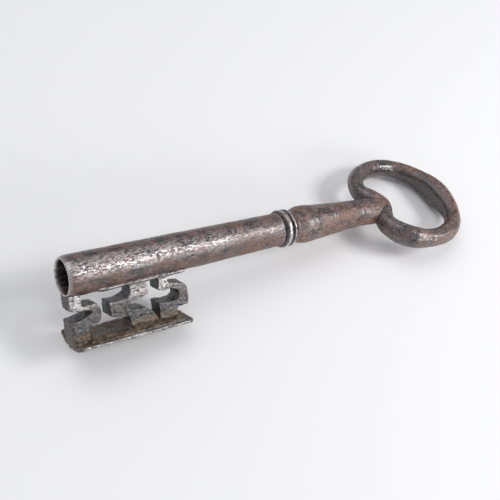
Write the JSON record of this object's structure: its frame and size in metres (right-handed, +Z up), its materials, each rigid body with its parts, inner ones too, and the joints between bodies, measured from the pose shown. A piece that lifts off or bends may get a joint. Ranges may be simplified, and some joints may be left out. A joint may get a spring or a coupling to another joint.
{
  "type": "barrel key",
  "caption": "Antique forged iron key with a hollow barrel, a warded bit on a curved foot, a ringed collar and an oval ring bow.",
  "frame": {"origin": "on the barrel's axis at its mouth", "axes": "+Z up, as the key lies on a level table on the foot of its bit and the rim of its bow; +X from the mouth towards the bow"},
  "size_m": [0.1567, 0.0448, 0.03],
  "materials": {
    "worn_iron": "worn wrought iron, polished along the side that is handled, with brown rust in the pits",
    "rusted_iron": "brown patinated wrought iron with red rust",
    "bit_iron": "dark filed wrought iron, bright on its edges, with grime between the wards"
  },
  "bodies": {
    "root": {"barrel": "worn_iron", "collar_ring_front": "worn_iron", "collar_ring_rear": "worn_iron", "shank": "rusted_iron", "bow": "rusted_iron", "bit": "bit_iron"}
  },
  "joints": []
}
